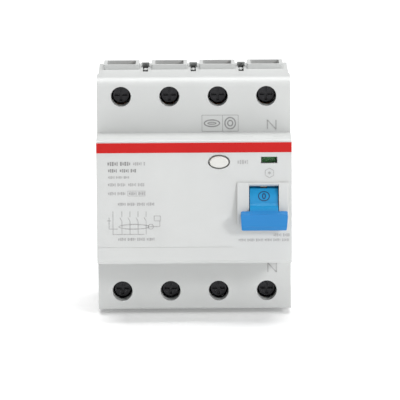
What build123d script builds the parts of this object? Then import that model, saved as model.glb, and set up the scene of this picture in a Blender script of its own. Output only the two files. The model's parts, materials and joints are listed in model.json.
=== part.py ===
"""Four-pole residual current device for a 35 mm rail.

Millimetres. X runs to the right seen from the front, Y to the rear and Z up. The origin is the middle of
the face that rests on the rail. Each piece is modelled where it sits with the contacts open.
"""
from build123d import *
import os
from math import cos, radians, sin

# Driving dimensions
POLE_PITCH = 17.5
POLES = 4
WIDTH = POLES * POLE_PITCH
HALF_HEIGHT = 42.5
NOSE_HALF = 22.5
SHOULDER_Y = -44.0
NOSE_Y = -61.5
SEAM_Y = -33.0
RAIL_HALF = 17.5
SEAT_HALF = 14.4
FOOT_Y = 5.5
WALL = 2.0
SIDE_WALL = 1.8
BASE_INSET = 0.45
STRIPE_LOW, STRIPE_HIGH = 18.0, 21.6
SHOULDER_ROUND = 3.4
SHOULDER_EDGE = 0.7

# Terminals
SCREW_Z = 35.75
SCREW_HOLE_R = 3.65
COLLAR_HALF = 6.5
COLLAR_FRONT, COLLAR_REAR = -22.0, -9.5
COLLAR_PROUD = 1.8
ENTRY_HALF = 5.2
ENTRY_FRONT, ENTRY_REAR = -20.7, -11.0
GROOVE_HALF = 0.95
WEB_HALF = 1.4
BAR_FRONT, BAR_REAR = -22.4, -20.6
SHANK_R = 2.45
HEAD_R = 3.3
HEAD_FRONT, HEAD_REAR = -38.3, -34.8
CAGE_FRONT, CAGE_REAR = -27.0, -9.6

# Toggle
PIVOT_Y, PIVOT_Z = -53.5, -0.2
DRUM_R = 8.6
DRUM_LEFT, DRUM_RIGHT = 19.9, 30.1
HANDLE_LEFT, HANDLE_RIGHT = 16.55, 33.45
OFF_ANGLE = 22.4
LINK_R = 5.2
LINK_END_Y = -41.0
RUNNING_FIT = 0.05

# Contacts
CONTACT_GAP = 3.9
UPPER_TIP_Z, LOWER_TIP_Z = 15.0, 1.0
TIP_HEIGHT = 1.0
BRIDGE_THICK = 1.5
CARRIER_FRONT, CARRIER_REAR = -38.0, -31.0

# Summation core
CORE_X, CORE_Y, CORE_Z = -10.5, -37.0, -13.8
CORE_CASE_R, CORE_HOLE_R, CORE_CASE_HEIGHT = 14.0, 8.0, 8.4
WIRE_R = 1.2

# Front controls
BUTTON_X, BUTTON_Z = 8.95, 14.6
WINDOW_X, WINDOW_Z = 26.9, 15.2
FLAG_PIVOT_Y = -51.0

# Rail clips
CLIP_X = 17.0
CLIP_HALF = 4.5
CLIP_FRONT, CLIP_REAR = 1.35, 3.65

POLE_X = [POLE_PITCH * (pole - (POLES - 1) / 2) for pole in range(POLES)]
POLE_EDGES = [-POLE_PITCH, 0.0, POLE_PITCH]
SIDES = (1, -1)


def block(x, y, z):
    """A box from its low and high places along each axis."""
    middle = [(low + high) / 2 for low, high in (x, y, z)]
    size = [high - low for low, high in (x, y, z)]
    return Pos(*middle) * Box(*size)


def rod(axis, start, end, radius, across):
    """A round bar along one axis, from start to end, at the two other coordinates in across."""
    half = Cylinder(radius, end - start)
    middle = (start + end) / 2
    if axis == "x":
        return Pos(middle, *across) * Rot(0, 90, 0) * half
    if axis == "y":
        return Pos(across[0], middle, across[1]) * Rot(90, 0, 0) * half
    return Pos(*across, middle) * half


def profile(points, x_low, x_high):
    """A closed outline in (Y, Z) carried along X."""
    face = Plane.YZ.offset(x_low) * Polygon(*points, align=None)
    return extrude(face, amount=x_high - x_low, dir=(1, 0, 0))


def flipped(points):
    """The same outline below the middle, in the opposite order."""
    return [(y, -z) for y, z in reversed(points)]


def oval_rod(width, height, y_low, y_high, x, z):
    """A bar of oval section along Y."""
    face = Plane.XZ.offset(-y_low) * Pos(x, z) * Ellipse(width / 2, height / 2)
    return extrude(face, amount=y_high - y_low, dir=(0, 1, 0))


def about_pivot(shape, angle):
    """The shape turned about the toggle's pivot, positive when the handle goes down."""
    return Pos(0, PIVOT_Y, PIVOT_Z) * Rot(angle, 0, 0) * Pos(0, -PIVOT_Y, -PIVOT_Z) * shape


def coil(radius, wire_r, height, turns):
    """A helical spring along Z, from zero to height, wire thickness included."""
    rise = height - 2 * wire_r
    path = Helix(pitch=rise / turns, height=rise, radius=radius)
    section = Plane(origin=path @ 0, z_dir=path % 0) * Circle(wire_r)
    return Pos(0, 0, wire_r) * sweep(section, path=path)


def cover_outline(wall):
    """Half of the cover's side outline above the middle, drawn in by the wall's thickness."""
    seam = SEAM_Y + (1.0 if wall else 0.0)
    return [
        (seam, HALF_HEIGHT - wall),
        (SHOULDER_Y + wall, HALF_HEIGHT - wall),
        (SHOULDER_Y + wall, NOSE_HALF - wall),
        (NOSE_Y + wall, NOSE_HALF - wall),
    ]


def front_cover():
    outer_half = cover_outline(0)
    inner_half = cover_outline(WALL)
    body = profile(outer_half + flipped(outer_half), -WIDTH / 2, WIDTH / 2)
    shoulder = body.edges().filter_by(Axis.X).filter_by_position(Axis.Y, SHOULDER_Y - 0.1, SHOULDER_Y + 0.1)
    body = fillet([edge for edge in shoulder if edge.center().Z > HALF_HEIGHT - 1], SHOULDER_ROUND)
    foot = body.edges().filter_by(Axis.X).filter_by_position(Axis.Y, SHOULDER_Y - 0.1, SHOULDER_Y + 0.1)
    body = fillet([edge for edge in foot if edge.center().Z < 1 - HALF_HEIGHT], SHOULDER_EDGE)
    nose = body.edges().filter_by(Axis.X).filter_by_position(Axis.Y, NOSE_Y - 0.1, NOSE_Y + 0.1)
    body = chamfer([edge for edge in nose if edge.center().Z < 0], 1.1)
    body = fillet(body.edges().filter_by(Axis.X).group_by(Axis.Y)[0].sort_by(Axis.Z)[-1], 0.6)
    hollow = profile(inner_half + flipped(inner_half), -WIDTH / 2 + SIDE_WALL, WIDTH / 2 - SIDE_WALL)
    body -= hollow
    for x in POLE_X:
        for side in SIDES:
            place = (x, side * SCREW_Z)
            body += rod("y", SHOULDER_Y + 1, -39.0, 4.9, place)
            body -= rod("y", SHOULDER_Y - 1, -38.0, SCREW_HOLE_R, place)
    for x in (-32.0, 32.0):
        for z in (-19.5, 19.5):
            body += rod("y", NOSE_Y + 1, SEAM_Y, 2.1, (x, z))
            body -= rod("y", -46.0, SEAM_Y + 1, 1.05, (x, z))
    body = bezel(body)
    body = control_openings(body)
    body -= block((-WIDTH, WIDTH), (NOSE_Y - 1, NOSE_Y + 0.5), (STRIPE_LOW, STRIPE_HIGH))
    body -= block((-WIDTH, 13.6), (NOSE_Y - 1, NOSE_Y + 0.12), (-16.45, -16.2))
    for x in (19.1, 30.4):
        body -= block((x - 2.1, x + 2.1), (-53.2, -52.8), (NOSE_HALF - 0.3, NOSE_HALF + 1))
    return body


def bezel(body):
    """The raised wedge round the toggle, its slot and the clearance for the drum."""
    top, foot = 7.1, -7.4
    side = [(NOSE_Y + 1, top), (NOSE_Y - 0.6, top), (NOSE_Y - 2.9, foot), (NOSE_Y + 1, foot)]
    wedge = profile(side, 15.3, 33.8)
    front = wedge.faces().sort_by(Axis.Y)[0]
    wedge = fillet(front.edges().filter_by(Axis.X, reverse=True), 0.35)
    body += wedge
    slot = (19.65, 30.35)
    body -= block(slot, (NOSE_Y + 0.5, NOSE_Y + WALL + 1), (-6.6, 6.2))
    body -= block(slot, (NOSE_Y - 0.5, NOSE_Y + 1), (-6.6, 5.65))
    body -= block(slot, (NOSE_Y - 4, NOSE_Y), (-8.0, 5.65))
    body -= profile([(NOSE_Y + 0.5, 5.65), (NOSE_Y - 1.0, 6.6), (NOSE_Y - 1.0, 4.0), (NOSE_Y + 0.5, 4.0)], *slot)
    body -= rod("x", *slot, DRUM_R + 0.4, (PIVOT_Y, PIVOT_Z))
    return body


def control_openings(body):
    """The button's oval hole and guide, the window and the flag's ears."""
    inside = NOSE_Y + WALL
    body += oval_rod(10.8, 8.2, inside - 0.5, inside + 3.5, BUTTON_X, BUTTON_Z)
    body -= oval_rod(9.2, 6.6, inside, inside + 4, BUTTON_X, BUTTON_Z)
    body -= oval_rod(7.95, 5.25, NOSE_Y - 1, inside + 1, BUTTON_X, BUTTON_Z)
    body -= block((WINDOW_X - 2.95, WINDOW_X + 2.95), (NOSE_Y - 1, inside + 1), (WINDOW_Z - 1.18, WINDOW_Z + 1.18))
    for x in (23.2, 29.7):
        body += block((x, x + 0.9), (inside - 0.5, FLAG_PIVOT_Y + 1.6), (WINDOW_Z - 1.5, WINDOW_Z + 1.5))
    body -= rod("x", 23.0, 31.0, 0.8, (FLAG_PIVOT_Y, WINDOW_Z))
    return body


def rear_base():
    half_width = WIDTH / 2 - BASE_INSET
    seat = [(0, SEAT_HALF), (-0.3, SEAT_HALF)]
    outer = seat + [(-0.3, 38.5), (-4.5, 38.5), (-5.5, HALF_HEIGHT), (SEAM_Y, HALF_HEIGHT)]
    inner = [(-2.2, 36.4), (-6.5, 36.4), (-7.5, HALF_HEIGHT - WALL), (SEAM_Y - 1, HALF_HEIGHT - WALL)]
    body = profile(outer + flipped(outer), -half_width, half_width)
    body -= profile(inner + flipped(inner), -half_width + SIDE_WALL, half_width - SIDE_WALL)
    body = chamber_walls(body, half_width)
    for side in SIDES:
        body = cable_side(body, side)
    body = rail_feet(body)
    for x in (-32.0, 32.0):
        for z in (-19.5, 19.5):
            body += rod("y", SEAM_Y, -1.0, 2.1, (x, z))
            body -= rod("y", SEAM_Y - 1, 1.0, 1.05, (x, z))
            body -= rod("y", -1.6, 1.0, 2.0, (x, z))
    return body


def chamber_walls(body, half_width):
    """Partitions between the poles, the walls that close the terminal chambers and the contact rests."""
    across = (-half_width + 1, half_width - 1)
    for side in SIDES:
        for x in POLE_EDGES:
            span = sorted((side * 19.0, side * 41.5))
            body += block((x - 0.7, x + 0.7), (SEAM_Y, -1.5), span)
        body += block(across, (-30.0, -1.5), sorted((side * 19.0, side * 20.4)))
    for x in POLE_X:
        body += block((x - 2.5, x + 2.5), (BAR_REAR, -1.5), (13.6, 15.4))
        body += block((x - 2.5, x + 2.5), (BAR_REAR, -1.5), (-3.0, 0.0))
        body -= block((x - 3.55, x + 3.55), (BAR_FRONT - 0.05, BAR_REAR), (18.0, 21.0))
    return body


def cable_side(body, side):
    """The collars, cable entries and open grooves between the poles, above or below."""
    face = HALF_HEIGHT
    for x in POLE_X:
        collar = block((x - COLLAR_HALF, x + COLLAR_HALF), (COLLAR_FRONT, COLLAR_REAR), (face - 1, face + COLLAR_PROUD))
        collar = fillet(collar.edges().filter_by(Axis.Z), 0.5)
        entry = block((x - ENTRY_HALF, x + ENTRY_HALF), (ENTRY_FRONT, ENTRY_REAR), (face - 4, face + 4))
        entry = fillet(entry.edges().filter_by(Axis.Z), 0.8)
        body += turned(collar, side)
        body -= turned(entry, side)
    for x in POLE_EDGES:
        thick = block((x - 2.3, x + 2.3), (-28.2, -6.0), (35.0, face))
        thick += block((x - 2.3, x + 2.3), (-28.2, -1.0), (35.0, 38.5))
        roof = profile([(-16.5, 44.3), (-15.0, 44.3), (-4.8, 40.6), (-4.8, 38.6), (-6.0, 38.6)], x - WEB_HALF, x + WEB_HALF)
        groove = block((x - GROOVE_HALF, x + GROOVE_HALF), (-27.0, 1.0), (36.2, face + 1))
        arch = Pos(x, -10.6, 40.9) * Rot(19.9, 0, 0) * Rot(90, 0, 0) * Cylinder(GROOVE_HALF, 22)
        body += turned(thick, side)
        body -= turned(groove, side)
        body += turned(roof, side)
        body -= turned(arch, side)
        body -= turned(block((x - GROOVE_HALF, x + GROOVE_HALF), (-27.0, 1.0), (36.2, 39.6)), side)
    return body


def turned(shape, side):
    """The shape as it is above, or turned half round the rear axis below."""
    return shape if side > 0 else Rot(0, 180, 0) * shape


def rail_feet(body):
    """Two fixed hooks over the rail's upper lip, and the lower feet that guide the clips."""
    hook = [(-1, 24.5), (FOOT_Y, 24.5), (FOOT_Y, 15.0), (1.4, 14.8), (1.4, RAIL_HALF + 0.2), (-1, RAIL_HALF + 0.2)]
    for side in SIDES:
        body += profile(hook, *sorted((side * 8.0, side * 27.0)))
        x = side * CLIP_X
        foot = block(sorted((side * 8.0, side * 27.0)), (-1, FOOT_Y), (-24.5, -RAIL_HALF - 0.2))
        foot -= block((x - CLIP_HALF - 0.15, x + CLIP_HALF + 0.15), (CLIP_FRONT - 0.15, CLIP_REAR + 0.15), (-26, -16))
        body += foot
        body += block((x - 1.7, x + 1.7), (-1, CLIP_REAR), (-35.8, -34.6))
        for edge in (-1, 1):
            guide = sorted((x + edge * (CLIP_HALF + 0.15), x + edge * (CLIP_HALF + 1.6)))
            body += block(guide, (-1, CLIP_REAR + 0.15), (-38.0, -30.0))
    return body


def terminal_screw(x, z):
    screw = rod("y", HEAD_FRONT, HEAD_REAR, HEAD_R, (x, z))
    screw = chamfer(screw.edges().group_by(Axis.Y)[0], 0.4)
    screw += rod("y", HEAD_REAR - 0.5, BAR_FRONT - 0.2, SHANK_R, (x, z))
    recess = (HEAD_FRONT - 1, HEAD_FRONT + 1.7)
    screw -= block((x - 2.3, x + 2.3), recess, (z - 0.5, z + 0.5))
    screw -= block((x - 0.5, x + 0.5), recess, (z - 2.3, z + 2.3))
    return screw


def cage_clamp(x, z):
    half, height, side = 5.7, 4.6, 1.2
    cage = block((x - half, x + half), (CAGE_FRONT, CAGE_REAR), (z - height, z + height))
    cage = fillet(cage.edges().filter_by(Axis.Z), 0.8)
    cage -= block((x - half + side, x + half - side), (CAGE_FRONT + 3.0, CAGE_REAR - 1.4), (z - 9, z + 9))
    cage -= rod("y", CAGE_FRONT - 1, CAGE_FRONT + 4, SHANK_R + RUNNING_FIT, (x, z))
    return cage


def toggle():
    """Drum, stem and T-shaped handle, modelled with the handle level and then turned to its rest."""
    body = rod("x", DRUM_LEFT, DRUM_RIGHT, DRUM_R, (PIVOT_Y, PIVOT_Z))
    body -= profile(local([(2.0, -9.5), (9.5, -9.5), (9.5, 0.0), (4.5, -4.5)]), DRUM_LEFT, DRUM_RIGHT)
    body -= drum_relief()
    stem = [(-7.6, 3.25), (-9.0, 2.6), (-13.2, 2.3), (-13.2, -1.6), (-9.2, -1.6), (-7.5, -2.2)]
    body += profile(local(stem), DRUM_LEFT, DRUM_RIGHT)
    body += handle_bar()
    link_room = [(-3.6, 9.5), (-3.6, 3.2), (0.0, 3.1), (1.2, 2.6), (10.0, -1.6), (10.0, 9.5)]
    body -= profile(local(link_room), 23.8, 26.2)
    body -= rod("x", 21.4, 28.6, 1.0 + RUNNING_FIT, (PIVOT_Y, PIVOT_Z + LINK_R))
    body -= rod("x", 27.1, DRUM_RIGHT + 1, 3.6, (PIVOT_Y, PIVOT_Z))
    body -= rod("x", DRUM_LEFT - 1, DRUM_RIGHT + 1, 1.5 + RUNNING_FIT, (PIVOT_Y, PIVOT_Z))
    return about_pivot(body, OFF_ANGLE)


def drum_relief():
    """The step that thins the drum above its marked face, down to the lug of the link's pin."""
    start, end = radians(57.4), radians(110)
    sector = [(0, 0), (-14 * cos(start), 14 * sin(start)), (-14 * cos(end), 14 * sin(end))]
    lug = rod("x", DRUM_LEFT - 1, DRUM_RIGHT + 1, 7.3, (PIVOT_Y, PIVOT_Z))
    return profile(local(sector), DRUM_LEFT, DRUM_RIGHT) - lug


def local(points):
    """Outline points given from the toggle's pivot."""
    return [(PIVOT_Y + y, PIVOT_Z + z) for y, z in points]


def handle_bar():
    """The wide bar that the finger moves, a little narrower towards its foot."""
    inner, outer, high, low = 12.95, 15.4, 2.8, -4.5
    face = Plane.XZ.offset(-(PIVOT_Y - outer)) * Polygon(
        (HANDLE_LEFT, PIVOT_Z + high), (HANDLE_LEFT + 0.4, PIVOT_Z + low),
        (HANDLE_RIGHT - 0.4, PIVOT_Z + low), (HANDLE_RIGHT, PIVOT_Z + high), align=None)
    bar = extrude(face, amount=outer - inner, dir=(0, 1, 0))
    bar = fillet(bar.edges().filter_by(Axis.Y), 0.6)
    foot_cut = [(-outer - 1, low + 2.4), (-outer, low + 2.4), (-outer + 1.0, low), (-outer + 1.0, low - 1),
                (-outer - 1, low - 1)]
    return bar - profile(local(foot_cut), HANDLE_LEFT - 1, HANDLE_RIGHT + 1)


def toggle_spring():
    spring = Rot(0, 90, 0) * coil(2.6, 0.3, 2.4, 3)
    return Pos(27.4, PIVOT_Y, PIVOT_Z) * spring


def mechanism_frame():
    """Two steel cheeks with legs to the base, held apart by spacer rods."""
    body = None
    for x in ((18.2, 19.4), (30.6, 31.8)):
        cheek = block(x, (-58.5, -45.0), (-10.5, 9.5)) + block(x, (-45.5, -2.2), (-3.4, 2.4))
        cheek = fillet(cheek.edges().filter_by(Axis.X).group_by(Axis.Y)[0], 2.0)
        body = cheek if body is None else body + cheek
    for z in (-9.3, 8.9):
        body += rod("x", 18.2, 31.8, 1.0, (-46.2, z))
    body -= rod("x", 17.0, 33.0, 1.5, (PIVOT_Y, PIVOT_Z))
    return body


def link_start():
    """Where the link's first pin sits on the turned drum."""
    angle = radians(OFF_ANGLE)
    return PIVOT_Y - LINK_R * sin(angle), PIVOT_Z + LINK_R * cos(angle)


def link():
    start_y, z = link_start()
    bar = block((24.1, 25.9), (start_y, LINK_END_Y), (z - 1.3, z + 1.3))
    for y in (start_y, LINK_END_Y):
        bar += rod("x", 24.1, 25.9, 1.6, (y, z))
        bar += rod("x", 21.6, 28.4, 1.0, (y, z))
    return bar


def contact_carrier():
    """The sliding bar across the poles with pockets for the contact springs and ears for the link."""
    body = block((-32.0, 32.0), (CARRIER_FRONT, CARRIER_REAR), (4.0, 12.0))
    body = fillet(body.edges().filter_by(Axis.X).group_by(Axis.Y)[0], 0.8)
    for x in POLE_X:
        body -= rod("y", CARRIER_REAR - 5.0, CARRIER_REAR + 1, 2.6, (x, 8.0))
        body -= rod("y", CARRIER_FRONT + 1.0, CARRIER_REAR, 1.0, (x, 8.0))
    z = link_start()[1]
    for x in ((20.8, 23.6), (26.4, 29.2)):
        ear = block(x, (LINK_END_Y - 2.6, CARRIER_FRONT + 0.5), (z - 3.0, z + 4.0))
        ear -= block((20, 30), (LINK_END_Y - 1.06, LINK_END_Y + 1.06), (z - 1.1, z + 1.6))
        body += ear
    return body


def guide_posts():
    rear = bridge_rear()
    posts = []
    for x in POLE_X:
        post = rod("y", CARRIER_FRONT + 1.0, rear, 1.0, (x, 8.0)) + rod("y", rear, rear + 0.8, 1.7, (x, 8.0))
        posts.append(post)
    return Compound(children=posts)


def bridge_rear():
    """The rear face of the bridge contacts at rest."""
    return BAR_FRONT - TIP_HEIGHT - CONTACT_GAP - TIP_HEIGHT


def bridge_contacts():
    rear = bridge_rear()
    bridges = []
    for x in POLE_X:
        bridge = block((x - 3.0, x + 3.0), (rear - BRIDGE_THICK, rear), (LOWER_TIP_Z - 2.2, UPPER_TIP_Z + 2.2))
        bridge -= rod("y", rear - 3, rear + 1, 1.1, (x, 8.0))
        bridges.append(bridge)
    return Compound(children=bridges)


def tips(front, rear):
    """Round contact tips for every pole, between two places along Y."""
    return Compound(children=[rod("y", front, rear, 2.0, (x, z)) for x in POLE_X for z in (UPPER_TIP_Z, LOWER_TIP_Z)])


def contact_springs():
    height = 5.0 + (bridge_rear() - BRIDGE_THICK - CARRIER_REAR)
    spring = Rot(-90, 0, 0) * coil(1.9, 0.25, height, 4)
    return Compound(children=[Pos(x, CARRIER_REAR - 5.0, 8.0) * spring for x in POLE_X])


def upper_bars():
    return Compound(children=[block((x - 3.5, x + 3.5), (BAR_FRONT, BAR_REAR), (12.6, 40.0)) for x in POLE_X])


def lower_bars():
    return Compound(children=[block((x - 3.5, x + 3.5), (BAR_FRONT, BAR_REAR), (-40.0, -20.6)) for x in POLE_X])


def lower_contacts():
    return Compound(children=[block((x - 3.5, x + 3.5), (BAR_FRONT, BAR_REAR), (-9.4, 3.2)) for x in POLE_X])


def chute_heights():
    return [4.6 + 1.9 * step for step in range(4)]


def arc_plates():
    plates = [block((x - 5.4, x + 5.4), (-22.0, -10.0), (z, z + 0.8)) for x in POLE_X for z in chute_heights()]
    return Compound(children=plates)


def arc_cheeks():
    cheeks = []
    for x in POLE_X:
        for side in SIDES:
            span = sorted((x + side * 5.4, x + side * 6.2))
            cheeks.append(block(span, (-22.3, -9.7), (4.0, 11.8)))
    return Compound(children=cheeks)


def core_ring(outer, inner, height):
    middle = (CORE_X, CORE_Y, CORE_Z)
    return Pos(*middle) * (Cylinder(outer, height) - Cylinder(inner, height + 1))


def core_case():
    hollow = core_ring(CORE_CASE_R - 0.9, CORE_HOLE_R + 0.9, CORE_CASE_HEIGHT - 1.8)
    return core_ring(CORE_CASE_R, CORE_HOLE_R, CORE_CASE_HEIGHT) - hollow


def core_winding():
    return core_ring(12.9, 9.1, 6.2) - core_ring(12.3, 9.7, 5.0)


def summation_core():
    return core_ring(12.3, 9.7, 5.0)


def primary_conductors():
    """One insulated conductor to each pole, out of the lower contact, through the core and to the lower bar."""
    lanes = [
        (POLE_X[0], -14.5, -37.0, -4.8, -21.9),
        (POLE_X[1], None, -32.4, -4.8, -21.9),
        (POLE_X[2], -10.5, -40.3, -4.8, -21.9),
        (POLE_X[3], -6.0, -37.0, -7.9, -24.8),
    ]
    wires = []
    for pole_x, hole_x, y, upper_z, lower_z in lanes:
        route = [(pole_x, BAR_FRONT, upper_z), (pole_x, y, upper_z)]
        if hole_x is not None:
            route += [(hole_x, y, upper_z), (hole_x, y, lower_z)]
        route += [(pole_x, y, lower_z), (pole_x, BAR_FRONT, lower_z)]
        path = FilletPolyline(*route, radius=1.9)
        section = Plane(origin=path @ 0, z_dir=path % 0) * Circle(WIRE_R)
        wires.append(sweep(section, path=path))
    return Compound(children=wires)


def relay_case():
    body = block((5.5, 16.5), (-57.5, -44.5), (-18.4, -3.2))
    body = fillet(body.edges().filter_by(Axis.Y), 0.6)
    for x in ((6.6, 8.2), (14.6, 16.2)):
        body += block(x, (-47.8, -44.5), (-4.0, 5.0))
    body -= rod("x", 6.0, 17.0, 1.0, (-46.2, 3.2))
    body -= rod("z", -12.0, -2.0, 1.5 + RUNNING_FIT, (11.0, -53.0))
    return body


def relay_plunger():
    return rod("z", -11.8, 0.2, 1.5, (11.0, -53.0))


def trip_latch():
    body = block((9.4, 13.4), (-54.6, -45.6), (0.6, 2.4)) + rod("x", 9.4, 13.4, 2.0, (-46.2, 3.2))
    body += block((9.4, 13.4), (-46.9, -45.5), (3.2, 7.6))
    body -= rod("x", 8.0, 15.0, 1.0 + RUNNING_FIT, (-46.2, 3.2))
    return body


def latch_pin():
    return rod("x", 6.6, 16.2, 1.0, (-46.2, 3.2))


def test_button():
    """An oval cap that comes through the cover, its retaining flange and its stem."""
    inside = NOSE_Y + WALL
    cap = oval_rod(6.75, 4.15, NOSE_Y - 0.8, inside + 0.4, BUTTON_X, BUTTON_Z)
    cap = fillet(cap.edges().group_by(Axis.Y)[0], 0.5)
    cap += oval_rod(8.8, 6.2, inside + 0.05, inside + 1.0, BUTTON_X, BUTTON_Z)
    return cap + rod("y", inside + 0.5, -53.0, 1.5, (BUTTON_X, BUTTON_Z))


def test_contact_leaf():
    body = block((7.4, 10.5), (-51.6, -51.2), (8.2, 16.8))
    return body + block((7.4, 10.5), (-51.6, -47.6), (8.2, 8.6))


def test_resistor():
    leads = rod("x", 2.0, 16.0, 0.35, (-48.6, 10.6))
    return rod("x", 4.5, 13.5, 1.5, (-48.6, 10.6)) + leads


def indicator_flag():
    """A curved face on two arms: one half shows with the contacts open, the other with them closed."""
    centre = (FLAG_PIVOT_Y, WINDOW_Z)
    low, high = radians(-12), radians(34)
    reach = 14
    fan = [centre, (centre[0] - reach * cos(low), centre[1] + reach * sin(low)),
           (centre[0] - reach * cos(high), centre[1] + reach * sin(high))]
    face = (rod("x", 24.4, 29.4, 8.0, centre) - rod("x", 24.4, 29.4, 7.2, centre)) & profile(fan, 24.4, 29.4)
    arms = block((24.4, 25.2), (centre[0] - 7.5, centre[0]), (centre[1] - 0.9, centre[1] + 0.9))
    arms += block((28.6, 29.4), (centre[0] - 7.5, centre[0]), (centre[1] - 0.9, centre[1] + 0.9))
    hub = rod("x", 24.4, 29.4, 1.5, centre)
    return face + arms + hub - rod("x", 24.0, 30.0, 0.8 + RUNNING_FIT, centre)


def flag_pin():
    return rod("x", 23.2, 30.6, 0.8, (FLAG_PIVOT_Y, WINDOW_Z))


def window_lens():
    return block((WINDOW_X - 2.95, WINDOW_X + 2.95), (NOSE_Y + 0.25, NOSE_Y + 1.25), (WINDOW_Z - 1.18, WINDOW_Z + 1.18))


def marking_stripe():
    body = block((-WIDTH / 2, WIDTH / 2), (NOSE_Y - 0.3, NOSE_Y + 0.5), (STRIPE_LOW, STRIPE_HIGH))
    return fillet(body.edges().filter_by(Axis.X).group_by(Axis.Y)[0], 0.2)


def rail_clip(x):
    """A flat slide with a nose under the rail's lower lip, a spring window and a slot for a screwdriver."""
    body = block((x - CLIP_HALF, x + CLIP_HALF), (CLIP_FRONT, CLIP_REAR), (-42.3, -15.0))
    nose = body.edges().filter_by(Axis.X).group_by(Axis.Z)[-1].sort_by(Axis.Y)[-1]
    body = chamfer(nose, 1.6)
    body -= block((x - 2.2, x + 2.2), (0, 5), (-36.0, -27.0))
    body -= block((x - 2.6, x + 2.6), (0, 5), (-41.0, -39.4))
    return body


def clip_spring(x):
    return Pos(x, (CLIP_FRONT + CLIP_REAR) / 2, -34.6) * coil(0.8, 0.2, 7.6, 8)


def cover_screws():
    screws = []
    for x in (-32.0, 32.0):
        for z in (-19.5, 19.5):
            screw = rod("y", -45.5, -1.0, 1.0, (x, z)) + rod("y", -1.6, -0.2, 1.9, (x, z))
            screws.append(screw - block((x - 1.3, x + 1.3), (-0.9, 1), (z - 0.25, z + 0.25)))
    return Compound(children=screws)


def all_parts():
    """Every node's name and shape."""
    bridge_tip = bridge_rear()
    parts = {
        "front_cover": front_cover(),
        "rear_base": rear_base(),
        "marking_stripe": marking_stripe(),
        "window_lens": window_lens(),
        "indicator_flag": indicator_flag(),
        "flag_pin": flag_pin(),
        "toggle": toggle(),
        "toggle_pin": rod("x", 17.8, 32.2, 1.5, (PIVOT_Y, PIVOT_Z)),
        "toggle_spring": toggle_spring(),
        "mechanism_frame": mechanism_frame(),
        "link": link(),
        "contact_carrier": contact_carrier(),
        "guide_posts": guide_posts(),
        "bridge_contacts": bridge_contacts(),
        "bridge_tips": tips(bridge_tip, bridge_tip + TIP_HEIGHT),
        "contact_springs": contact_springs(),
        "fixed_tips": tips(BAR_FRONT - TIP_HEIGHT, BAR_FRONT),
        "upper_bars": upper_bars(),
        "lower_bars": lower_bars(),
        "lower_contacts": lower_contacts(),
        "arc_plates": arc_plates(),
        "arc_cheeks": arc_cheeks(),
        "core_case": core_case(),
        "core_winding": core_winding(),
        "summation_core": summation_core(),
        "primary_conductors": primary_conductors(),
        "relay_case": relay_case(),
        "relay_plunger": relay_plunger(),
        "trip_latch": trip_latch(),
        "latch_pin": latch_pin(),
        "test_button": test_button(),
        "test_contact_leaf": test_contact_leaf(),
        "test_resistor": test_resistor(),
        "cover_screws": cover_screws(),
    }
    for name, x in (("left", -CLIP_X), ("right", CLIP_X)):
        parts["rail_clip_" + name] = rail_clip(x)
        parts["clip_spring_" + name] = clip_spring(x)
    for row, side in (("upper", 1), ("lower", -1)):
        for pole, x in enumerate(POLE_X, start=1):
            parts[f"terminal_screw_{row}_{pole}"] = terminal_screw(x, side * SCREW_Z)
            parts[f"cage_clamp_{row}_{pole}"] = cage_clamp(x, side * SCREW_Z)
    return parts


os.makedirs("parts", exist_ok=True)
for node, shape in all_parts().items():
    export_step(shape, f"parts/{node}.step")
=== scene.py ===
"""Looks for the four-pole residual current device: materials, printed marks, floor, lights and camera.

Metres, in the frame of the CAD model: X to the right seen from the front, Y to the rear, Z up.
"""
import json
import math

import bmesh
import bpy
from mathutils import Matrix, Vector


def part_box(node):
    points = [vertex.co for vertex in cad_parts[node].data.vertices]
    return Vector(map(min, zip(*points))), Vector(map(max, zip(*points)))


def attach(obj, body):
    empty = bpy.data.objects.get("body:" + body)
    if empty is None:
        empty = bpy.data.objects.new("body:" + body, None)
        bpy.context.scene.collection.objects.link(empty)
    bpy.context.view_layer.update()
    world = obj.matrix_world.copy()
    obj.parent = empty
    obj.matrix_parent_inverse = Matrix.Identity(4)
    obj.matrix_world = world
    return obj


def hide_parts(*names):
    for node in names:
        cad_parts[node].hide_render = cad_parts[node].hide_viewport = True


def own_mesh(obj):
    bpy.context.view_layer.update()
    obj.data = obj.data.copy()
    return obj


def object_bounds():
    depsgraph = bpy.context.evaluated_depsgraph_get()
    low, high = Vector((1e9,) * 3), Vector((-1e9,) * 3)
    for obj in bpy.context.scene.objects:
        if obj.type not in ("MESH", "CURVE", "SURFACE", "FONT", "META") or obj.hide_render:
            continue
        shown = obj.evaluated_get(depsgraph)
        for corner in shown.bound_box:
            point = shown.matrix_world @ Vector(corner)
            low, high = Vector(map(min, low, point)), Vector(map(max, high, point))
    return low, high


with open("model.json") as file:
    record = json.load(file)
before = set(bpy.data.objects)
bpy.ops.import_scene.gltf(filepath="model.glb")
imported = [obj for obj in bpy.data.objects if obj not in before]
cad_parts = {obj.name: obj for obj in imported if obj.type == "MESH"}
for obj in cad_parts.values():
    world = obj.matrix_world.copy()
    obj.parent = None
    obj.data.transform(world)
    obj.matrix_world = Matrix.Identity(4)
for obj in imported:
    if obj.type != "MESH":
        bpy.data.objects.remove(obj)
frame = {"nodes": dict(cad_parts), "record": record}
CAD_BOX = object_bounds()


def box_middle(node):
    """The middle of a CAD node's box at rest."""
    low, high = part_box(node)
    return Vector([(a + b) / 2 for a, b in zip(low, high)])


MM = 0.001

# Faces that carry print, and the toggle's drum.
STRIPE_PROUD = 0.3 * MM
NOSE_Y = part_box("marking_stripe")[0][1] + STRIPE_PROUD
SHOULDER_Y = -44.0 * MM
PIVOT = box_middle("toggle_pin")
DRUM_RADIUS = 8.6 * MM
DRUM_X = 25.0 * MM

# Ink is lifted off its face, so that the two never coincide.
INK_LIFT = 0.03 * MM
INK_THICK = 0.03 * MM

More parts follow.
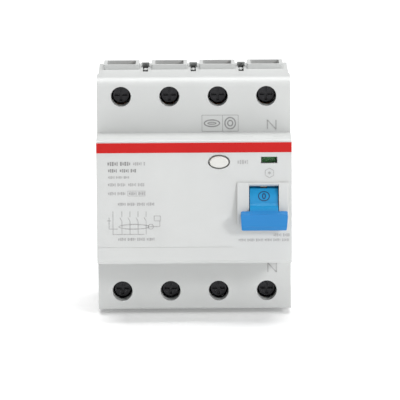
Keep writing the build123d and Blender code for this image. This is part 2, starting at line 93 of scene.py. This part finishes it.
# Rounding of moulded edges.
EDGE_ROUND = 0.16 * MM
EDGE_ANGLE = math.radians(50)
MOULDED_NODES = (
    "front_cover",
    "rear_base",
    "marking_stripe",
    "rail_clip_left",
    "rail_clip_right",
    "contact_carrier",
)

# Noise: cells in a metre, and the span that most of its values lie in.
CLOUD_CELLS = 70.0
GLOSS_CELLS = 310.0
GRAIN_CELLS = 4200.0
STREAK_CELLS = 1400.0
NOISE_LOW, NOISE_HIGH = 0.3, 0.7
BUMP_STRENGTH = 0.5

# Linear colours of the flag, the toggle and the inks; make_materials holds the others.
FLAG_GREEN = (0.03, 0.16, 0.035)
FLAG_RED = (0.55, 0.03, 0.02)
HANDLE_BLUE = (0.006, 0.18, 0.47)
# Painted light: the drum's blue is lighter and greener than the handle's, though both are one moulding.
DRUM_BLUE_PAINTED_LIGHT = (0.008, 0.27, 0.56)
DARK_INK = (0.26, 0.26, 0.26)
SEAL_INK = (0.27, 0.27, 0.27)
PALE_INK = (0.38, 0.38, 0.38)
DRUM_INK = (0.003, 0.045, 0.14)


# Materials ---------------------------------------------------------------------------------------

class Shader:
    """A Principled material with short helpers for the nodes that vary it."""

    def __init__(self, name, colour, roughness, **sockets):
        self.material = bpy.data.materials.new(name)
        self.material.use_nodes = True
        self.nodes = self.material.node_tree.nodes
        self.links = self.material.node_tree.links
        self.shader = self.nodes["Principled BSDF"]
        self.colour = colour
        self.roughness = roughness
        self.shader.inputs["Base Color"].default_value = (*colour, 1)
        self.shader.inputs["Roughness"].default_value = roughness
        for socket, value in sockets.items():
            self.shader.inputs[socket.replace("_", " ")].default_value = value
        self.place = self.nodes.new("ShaderNodeTexCoord").outputs["Object"]

    def noise(self, scale, detail=4.0, rough=0.55, stretch=(1, 1, 1)):
        """Noise in object space; scale is the number of cells in a metre."""
        place = self.place
        if stretch != (1, 1, 1):
            mapping = self.nodes.new("ShaderNodeMapping")
            mapping.inputs["Scale"].default_value = stretch
            self.links.new(place, mapping.inputs["Vector"])
            place = mapping.outputs["Vector"]
        node = self.nodes.new("ShaderNodeTexNoise")
        node.inputs["Scale"].default_value = scale
        node.inputs["Detail"].default_value = detail
        node.inputs["Roughness"].default_value = rough
        self.links.new(place, node.inputs["Vector"])
        return node.outputs["Fac"]

    def map_range(self, value, given, wanted):
        """Map a value from the span given to the span wanted."""
        node = self.nodes.new("ShaderNodeMapRange")
        node.inputs["From Min"].default_value = given[0]
        node.inputs["From Max"].default_value = given[1]
        node.inputs["To Min"].default_value = wanted[0]
        node.inputs["To Max"].default_value = wanted[1]
        self.links.new(value, node.inputs["Value"])
        return node.outputs["Result"]

    def vector_math(self, operation, first, second=None):
        """A vector node with a linked first input and a constant second one."""
        node = self.nodes.new("ShaderNodeVectorMath")
        node.operation = operation
        self.links.new(first, node.inputs[0])
        if second is not None:
            node.inputs[1].default_value = second
        return node.outputs["Value" if operation == "LENGTH" else "Vector"]

    def vary_colour(self, fac, dark, light):
        """Shade the base colour between two factors, and return the shaded colour."""
        ramp = self.nodes.new("ShaderNodeValToRGB")
        ramp.color_ramp.elements[0].position = NOISE_LOW
        ramp.color_ramp.elements[1].position = NOISE_HIGH
        ramp.color_ramp.elements[0].color = (*[c * dark for c in self.colour], 1)
        ramp.color_ramp.elements[1].color = (*[min(1.0, c * light) for c in self.colour], 1)
        self.links.new(fac, ramp.inputs["Fac"])
        self.links.new(ramp.outputs["Color"], self.shader.inputs["Base Color"])
        return ramp.outputs["Color"]

    def vary_roughness(self, fac, swing):
        """Vary the gloss by the swing on both sides of the set roughness."""
        span = (self.roughness - swing, self.roughness + swing)
        rough = self.map_range(fac, (NOISE_LOW, NOISE_HIGH), span)
        self.links.new(rough, self.shader.inputs["Roughness"])

    def bump(self, fac, depth):
        """Surface relief of the given depth in metres."""
        node = self.nodes.new("ShaderNodeBump")
        node.inputs["Strength"].default_value = BUMP_STRENGTH
        node.inputs["Distance"].default_value = depth
        self.links.new(fac, node.inputs["Height"])
        self.links.new(node.outputs["Normal"], self.shader.inputs["Normal"])

    def mould(self, depth=0.012 * MM):
        """Uneven gloss and a fine spark-eroded grain."""
        self.vary_roughness(self.noise(GLOSS_CELLS, 3.0), 0.06)
        self.bump(self.noise(GRAIN_CELLS, 3.0, 0.6), depth)


def moulded(name, colour, roughness, tone=0.02, depth=0.012 * MM, **sockets):
    """Injection-moulded plastic with faint cloudiness."""
    made = Shader(name, colour, roughness, **sockets)
    made.vary_colour(made.noise(CLOUD_CELLS, 5.0), 1 - tone, 1 + tone)
    made.mould(depth)
    return made.material


def metal(name, colour, roughness, stretch=(1, 1, 1), tone=0.18):
    """Metal with drawn or plated streaks."""
    made = Shader(name, colour, roughness, Metallic=1.0)
    streaks = made.noise(STREAK_CELLS, 5.0, 0.6, stretch)
    made.vary_colour(streaks, 1 - tone, 1 + tone)
    made.vary_roughness(streaks, 0.1)
    made.bump(streaks, 0.015 * MM)
    return made.material


def lens_material():
    """Clear window plastic; its index is set low so that the flag shows through."""
    made = Shader("lens_clear", (0.93, 0.97, 0.94), 0.08, Transmission_Weight=1.0, IOR=1.12)
    made.vary_roughness(made.noise(900.0, 3.0), 0.03)
    return made.material


def flag_material():
    """Green on the half behind the window, red on the half above it."""
    made = Shader("flag_print", FLAG_GREEN, 0.5)
    red_above_window = 1.55 * MM
    split = made.nodes.new("ShaderNodeSeparateXYZ")
    made.links.new(made.place, split.inputs["Vector"])
    edge = made.nodes.new("ShaderNodeMath")
    edge.operation = "GREATER_THAN"
    edge.inputs[1].default_value = box_middle("window_lens").z + red_above_window
    made.links.new(split.outputs["Z"], edge.inputs[0])
    ramp = made.nodes.new("ShaderNodeValToRGB")
    ramp.color_ramp.interpolation = "CONSTANT"
    ramp.color_ramp.elements[0].color = (*FLAG_GREEN, 1)
    ramp.color_ramp.elements[1].position = 0.5
    ramp.color_ramp.elements[1].color = (*FLAG_RED, 1)
    made.links.new(edge.outputs["Value"], ramp.inputs["Fac"])
    made.links.new(ramp.outputs["Color"], made.shader.inputs["Base Color"])
    made.vary_roughness(made.noise(600.0), 0.08)
    made.bump(made.noise(3000.0), 0.01 * MM)
    return made.material


def toggle_material():
    """Blue plastic, coloured lighter and greener close to the pivot axis as painted light on the drum
    (chosen for its look); drum and handle are one moulding.
    """
    made = Shader("toggle_plastic", HANDLE_BLUE, 0.40, Specular_IOR_Level=0.35)
    handle = made.vary_colour(made.noise(CLOUD_CELLS, 5.0), 0.97, 1.03)
    drum_reach, handle_reach = 10.5 * MM, 13.5 * MM
    offset = made.vector_math("SUBTRACT", made.place, (0.0, PIVOT.y, PIVOT.z))
    across = made.vector_math("MULTIPLY", offset, (0.0, 1.0, 1.0))
    reach = made.vector_math("LENGTH", across)
    # Painted light: near the pivot the colour turns to the lighter drum blue.
    mix = made.nodes.new("ShaderNodeMix")
    mix.data_type = "RGBA"
    mix.inputs["B"].default_value = (*DRUM_BLUE_PAINTED_LIGHT, 1)
    made.links.new(made.map_range(reach, (drum_reach, handle_reach), (1.0, 0.0)), mix.inputs["Factor"])
    made.links.new(handle, mix.inputs["A"])
    made.links.new(mix.outputs["Result"], made.shader.inputs["Base Color"])
    made.mould()
    return made.material


def ink(name, colour, fade=0.25):
    """Pad-printed ink, thinner in places."""
    made = Shader(name, colour, 0.55)
    made.vary_colour(made.noise(1600.0, 4.0, 0.7), 1 - fade, 1 + fade)
    made.vary_roughness(made.noise(900.0), 0.08)
    return made.material


def make_materials():
    """One material for each slot named in the record."""
    return {
        "housing": moulded("housing_plastic", (0.558, 0.568, 0.562), 0.42, Specular_IOR_Level=0.42),
        "stripe": moulded("stripe_plastic", (0.49, 0.003, 0.002), 0.42, tone=0.03, Specular_IOR_Level=0.25),
        "lens": lens_material(),
        "flag": flag_material(),
        "toggle": toggle_material(),
        "button": moulded("button_plastic", (0.63, 0.63, 0.60), 0.36),
        "clip": moulded("clip_plastic", (0.50, 0.505, 0.50), 0.5),
        # Painted shade: the screws are near black to stand in for the shade deep in their terminal holes;
        # the real screws are plated.
        "dark_steel": metal("screw_steel_painted_shade", (0.032, 0.032, 0.034), 0.34, tone=0.3),
        "zinc_steel": metal("zinc_plate", (0.62, 0.62, 0.60), 0.34),
        "spring_steel": metal("spring_wire", (0.52, 0.52, 0.53), 0.26),
        "copper": metal("copper_bar", (0.78, 0.40, 0.25), 0.34, stretch=(1, 1, 0.08)),
        "silver": metal("silver_tip", (0.82, 0.82, 0.80), 0.28),
        "wire_sheath": moulded("wire_sheath", (0.05, 0.09, 0.28), 0.5),
        "core": metal("core_strip", (0.20, 0.20, 0.21), 0.4, stretch=(0.1, 0.1, 1)),
        "dark_plastic": moulded("mechanism_plastic", (0.045, 0.047, 0.05), 0.5, depth=0.03 * MM),
        "relay_shell": moulded("relay_plastic", (0.14, 0.15, 0.15), 0.45),
        "resistor": moulded("resistor_glaze", (0.30, 0.17, 0.08), 0.3),
    }


# CAD nodes ---------------------------------------------------------------------------------------

def add_object(name, data):
    """A new object in the scene."""
    made = bpy.data.objects.new(name, data)
    bpy.context.scene.collection.objects.link(made)
    return made


def dress_cad_nodes(materials):
    """Give each CAD node the material of its slot."""
    slots = {row["node"]: row["material_slot"] for row in frame["record"]["subparts"]}
    for node, piece in frame["nodes"].items():
        mesh = piece.data
        mesh.materials.clear()
        mesh.materials.append(materials[slots[node]])


def soften_edges(piece):
    """Round the moulded edges a little, as a tool leaves them."""
    bevel = piece.modifiers.new("edge_round", "BEVEL")
    bevel.width = EDGE_ROUND
    bevel.segments = 2
    bevel.limit_method = "ANGLE"
    bevel.angle_limit = EDGE_ANGLE


def squeeze_clip_spring(side, material):
    """A copy of a clip spring's CAD mesh in spring steel, carried by the housing, in place of the hidden
    CAD one.
    """
    node = f"clip_spring_{side}"
    stiff = frame["nodes"][node]
    spring = add_object(f"{node}_wire", stiff.data.copy())
    spring.matrix_world = stiff.matrix_world
    spring.data.materials.clear()
    spring.data.materials.append(material)
    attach(spring, "housing")
    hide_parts(node)
    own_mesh(spring)


# Printed marks -----------------------------------------------------------------------------------
# Positions, widths and heights of print are (X, Z) in millimetres.

def oval_strips(radius_x, radius_z, width, sides):
    """Corners of the short strips that make up an oval ring round the origin."""
    half = width / 2
    for step in range(sides):
        corners = []
        for reach, turn in ((half, step), (-half, step), (-half, step + 1), (half, step + 1)):
            angle = 2 * math.pi * turn / sides
            corners.append(((radius_x + reach) * math.cos(angle), (radius_z + reach) * math.sin(angle)))
        yield corners


class Print:
    """Thin ink shapes on a face that looks towards -Y, gathered in one mesh."""

    def __init__(self, name, face_y):
        self.name = name
        self.y = face_y - INK_LIFT
        self.mesh = bmesh.new()

    def spot(self, x, z, height):
        """A vertex at a place on the face, raised by a height in metres."""
        return self.mesh.verts.new((x * MM, self.y - height, z * MM))

    def polygon(self, points):
        """A thin sheet of ink over a closed outline."""
        outer = [self.spot(x, z, INK_THICK) for x, z in points]
        inner = [self.spot(x, z, 0.0) for x, z in points]
        self.mesh.faces.new(outer)
        self.mesh.faces.new(inner[::-1])
        count = len(points)
        for here in range(count):
            there = (here + 1) % count
            self.mesh.faces.new((outer[here], inner[here], inner[there], outer[there]))

    def line(self, start, end, width):
        """A straight stroke with square ends."""
        start, end = Vector(start), Vector(end)
        along = end - start
        across = Vector((-along.y, along.x)).normalized() * width / 2
        self.polygon([start + across, start - across, end - across, end + across])

    def path(self, points, width, closed=False):
        """Straight strokes from point to point."""
        ends = points[1:] + points[:1] if closed else points[1:]
        for start, end in zip(points, ends):
            self.line(start, end, width)

    def blocks(self, start, end, z, height):
        """A row of small plain blocks with gaps, as a line of print looks from afar."""
        widths = (0.42, 0.30, 0.46, 0.36, 0.25)
        narrow_gap, wide_gap, low_block = 0.18, 0.6, 0.7
        x = start
        index = 0
        while x < end:
            place = index % len(widths)
            wide = widths[place] * height
            tall = height if index % 3 else low_block * height
            self.line((x, z), (x + wide, z), tall)
            x += wide + height * (wide_gap if place == len(widths) - 1 else narrow_gap)
            index += 1

    def ring(self, centre, radius_x, radius_z, width, sides=40):
        """An oval ring made of short strips."""
        for corners in oval_strips(radius_x, radius_z, width, sides):
            self.polygon([(centre[0] + x, centre[1] + z) for x, z in corners])

    def finish(self, material, body="housing", slot="stripe"):
        """Turn the gathered shapes into one piece that rides on a body."""
        bmesh.ops.recalc_face_normals(self.mesh, faces=self.mesh.faces)
        data = bpy.data.meshes.new(self.name)
        self.mesh.to_mesh(data)
        self.mesh.free()
        data.materials.append(material)
        piece = add_object(self.name, data)
        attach(piece, body)


class DrumPrint(Print):
    """Ink wrapped on the toggle's drum: X from the drum's middle, Z as arc length above the pivot."""

    def spot(self, x, z, height):
        """A vertex on the drum, raised by a height in metres."""
        surface = PIVOT.y - self.y
        angle = z * MM / surface
        reach = surface + height
        return self.mesh.verts.new((DRUM_X + x * MM,
                                    PIVOT.y - reach * math.cos(angle),
                                    PIVOT.z + reach * math.sin(angle)))


def print_terminal_letters(material):
    """The letter of the neutral pole beside its two screws."""
    marks = Print("neutral_marks", SHOULDER_Y)
    wide, tall, stroke = 3.1, 3.4, 0.42
    for x, z in ((28.2, 25.3), (28.2, -27.3)):
        left, right = x - wide / 2, x + wide / 2
        low, high = z - tall / 2, z + tall / 2
        marks.line((left, low), (left, high), stroke)
        marks.line((right, low), (right, high), stroke)
        marks.line((left, high), (right, low), stroke)
    marks.finish(material)


def print_approval_box(material):
    """Two blank seals in a frame."""
    marks = Print("approval_frame", SHOULDER_Y)
    left, right, low, high = 3.0, 16.1, 22.95, 28.85
    divider, first_seal, second_seal = 10.45, 6.6, 13.2
    frame_stroke, outer_stroke = 0.16, 0.5
    middle = (low + high) / 2
    marks.path([(left, low), (right, low), (right, high), (left, high)], frame_stroke, closed=True)
    marks.line((divider, low), (divider, high), frame_stroke)
    marks.ring((first_seal, middle), 2.75, 1.2, outer_stroke)
    marks.ring((first_seal, middle), 1.5, 0.35, 0.4)
    marks.ring((second_seal, middle), 1.9, 2.05, outer_stroke)
    marks.ring((second_seal, middle), 0.9, 1.0, outer_stroke)
    marks.finish(material)


def print_rating_lines(dark, pale):
    """Rows of blank blocks where a rating plate is printed: words are left out."""
    # Start and end along X, middle along Z, height of the blocks.
    bold_rows = (
        (-31.0, -23.0, 14.1, 1.45),
        (-30.8, -27.4, 11.6, 1.25),
        (-26.6, -21.2, 11.6, 1.25),
    )
    faint_rows = (
        (-21.8, -17.8, 14.1, 1.2),
        (-30.8, -23.4, 9.2, 0.9),
        (-30.9, -24.6, 6.5, 1.1),
        (-23.6, -18.0, 6.5, 1.1),
        (-30.9, -24.8, 3.3, 1.1),
        (-23.4, -18.0, 3.3, 1.1),
    )
    bold = Print("rating_rows", NOSE_Y)
    for row in bold_rows:
        bold.blocks(*row)
    faint = Print("rating_rows_faint", NOSE_Y)
    for row in faint_rows:
        faint.blocks(*row)
    faint.path([(-23.8, 2.4), (-17.6, 2.4), (-17.6, 4.2), (-23.8, 4.2)], 0.14, closed=True)
    bold.finish(dark)
    faint.finish(pale)


def print_wiring_diagram(material):
    """A plain four-wire diagram: four lines through an oval core with a test branch."""
    marks = Print("wiring_diagram", NOSE_Y)
    stroke = 0.24
    top, core, bottom = -3.2, -8.8, -11.6
    first_wire, wire_step = -26.0, 2.9
    open_at, blade_tip, blade_foot, blade_lean = 2.0, 2.2, 3.6, 0.75
    marks.blocks(-27.4, -14.4, -0.6, 1.1)
    marks.blocks(-27.4, -14.6, -13.4, 1.1)
    for step in range(4):
        x = first_wire + step * wire_step
        marks.line((x, top), (x, top - open_at), stroke)
        marks.line((x - blade_lean, top - blade_tip), (x, top - blade_foot), stroke)
        marks.line((x, top - blade_foot), (x, bottom), stroke)
    marks.ring((-21.7, core), 5.4, 0.85, 0.34, sides=56)
    marks.path([(-29.2, top), (-29.2, bottom), (-18.0, bottom)], stroke)
    marks.path([(-30.6, -5.4), (-30.6, -9.6), (-27.5, -9.6)], stroke)
    marks.line((-31.3, -6.6), (-29.9, -6.6), stroke)
    marks.path([(-16.0, core), (-12.4, core), (-12.4, -6.8)], stroke)
    marks.ring((-15.6, core), 0.9, 0.9, stroke, sides=24)
    marks.path([(-14.4, -4.9), (-12.2, -4.9), (-12.2, -6.7), (-14.4, -6.7)], stroke, closed=True)
    marks.finish(material)


def print_control_marks(material):
    """Blocks beside the test button, a six-sided sign below the window and blocks below the toggle."""
    marks = Print("control_marks", NOSE_Y)
    button = box_middle("test_button") / MM
    window = box_middle("window_lens") / MM
    sign_radius, sign_stroke, spoke_stroke, spoke_length = 1.75, 0.26, 0.22, 0.35
    marks.blocks(button.x + 6.6, button.x + 10.9, button.z - 0.1, 1.5)
    centre = (window.x + 0.1, window.z - 4.7)
    angles = [math.pi * (corner / 3 + 1 / 6) for corner in range(6)]
    corners = [(centre[0] + sign_radius * math.cos(angle),
                centre[1] + sign_radius * math.sin(angle)) for angle in angles]
    marks.path(corners, sign_stroke, closed=True)
    for near, far in zip(corners[:3], corners[3:]):
        marks.line([c + spoke_length * (n - c) for c, n in zip(centre, near)],
                   [c + spoke_length * (f - c) for c, f in zip(centre, far)], spoke_stroke)
    marks.blocks(28.4, 33.8, -12.1, 1.1)
    marks.blocks(15.9, 33.8, -13.9, 1.0)
    marks.finish(material)


def print_drum_signs(material):
    """The ring and bar of the switch positions, wrapped on the drum."""
    marks = DrumPrint("drum_signs", PIVOT.y - DRUM_RADIUS)
    off_arc = 2.35
    on_arc = off_arc - 10.5
    half_bar = 1.2
    marks.ring((0.0, off_arc), 1.95, 1.65, 0.36, sides=36)
    marks.ring((0.0, off_arc), 0.50, 0.90, 0.40, sides=36)
    marks.line((0.0, on_arc - half_bar), (0.0, on_arc + half_bar), 0.34)
    marks.finish(material, body="toggle", slot="toggle")


# Stage -------------------------------------------------------------------------------------------

def make_floor():
    """A wide pale floor just below the lowest edge, glowing faintly towards its far parts."""
    half, gap = 6.0, 0.2 * MM
    level = CAD_BOX[0][2] - gap
    data = bpy.data.meshes.new("floor")
    corners = [(-half, -half, level), (half, -half, level), (half, half, level), (-half, half, level)]
    data.from_pydata(corners, [], [(0, 1, 2, 3)])
    floor = add_object("floor", data)
    made = Shader("floor_paper", (0.93, 0.93, 0.93), 0.9)
    made.shader.inputs["Emission Color"].default_value = (1, 1, 1, 1)
    made.vary_colour(made.noise(3.0), 0.995, 1.0)
    near_and_far = (0.15, 1.2)
    glow_near_and_far = (0.15, 0.75)
    distance = made.vector_math("LENGTH", made.place)
    glow = made.map_range(distance, near_and_far, glow_near_and_far)
    made.links.new(glow, made.shader.inputs["Emission Strength"])
    data.materials.append(made.material)


def area_light(name, place, size, watts):
    """A white rectangular light turned towards the middle of the device."""
    aim = Vector((0, -0.03, 0))
    data = bpy.data.lights.new(name, "AREA")
    data.shape = "RECTANGLE"
    data.size, data.size_y = size
    data.energy = watts
    light = add_object(name, data)
    light.location = place
    light.rotation_euler = (aim - Vector(place)).to_track_quat("-Z", "Y").to_euler()


def make_lights():
    """A small key from the upper right, a broad light overhead, a low one in front and an even room."""
    area_light("key", (0.88, -0.98, 0.56), (0.28, 0.28), 7.2)
    area_light("overhead", (0.0, 0.05, 0.95), (1.0, 0.7), 11.0)
    area_light("fill", (0.45, -1.35, 0.12), (0.9, 0.9), 4.0)
    world = bpy.data.worlds.new("room")
    world.use_nodes = True
    background = world.node_tree.nodes["Background"]
    background.inputs["Color"].default_value = (1, 1, 1, 1)
    background.inputs["Strength"].default_value = 0.30
    bpy.context.scene.world = world
    bpy.context.scene.view_settings.view_transform = "Standard"


def make_camera():
    """A long lens in front and a little above, turned and rolled by a fraction of a degree."""
    distance, rise, turn, roll = 1.55, math.radians(9.9), math.radians(-0.17), math.radians(-0.34)
    target = Vector((2.12, -44.0, -2.25)) * MM
    away = Vector((math.sin(turn) * math.cos(rise), -math.cos(turn) * math.cos(rise), math.sin(rise)))
    data = bpy.data.cameras.new("camera")
    data.lens = 384.6
    data.sensor_width = 36.0
    data.clip_start, data.clip_end = 0.05, 50.0
    camera = add_object("camera", data)
    camera.location = target + away * distance
    look = (-away).to_track_quat("-Z", "Y").to_matrix()
    camera.rotation_euler = (look @ Matrix.Rotation(roll, 3, "Z")).to_euler()
    bpy.context.scene.camera = camera


make_camera()
materials = make_materials()
dress_cad_nodes(materials)
for node in MOULDED_NODES:
    soften_edges(frame["nodes"][node])
for side in ("left", "right"):
    squeeze_clip_spring(side, materials["spring_steel"])
dark_ink = ink("print_ink", DARK_INK)
pale_ink = ink("print_ink_pale", PALE_INK)
print_terminal_letters(pale_ink)
print_approval_box(ink("seal_ink", SEAL_INK))
print_rating_lines(dark_ink, pale_ink)
print_wiring_diagram(pale_ink)
print_control_marks(pale_ink)
print_drum_signs(ink("drum_ink", DRUM_INK, fade=0.1))
make_floor()
make_lights()
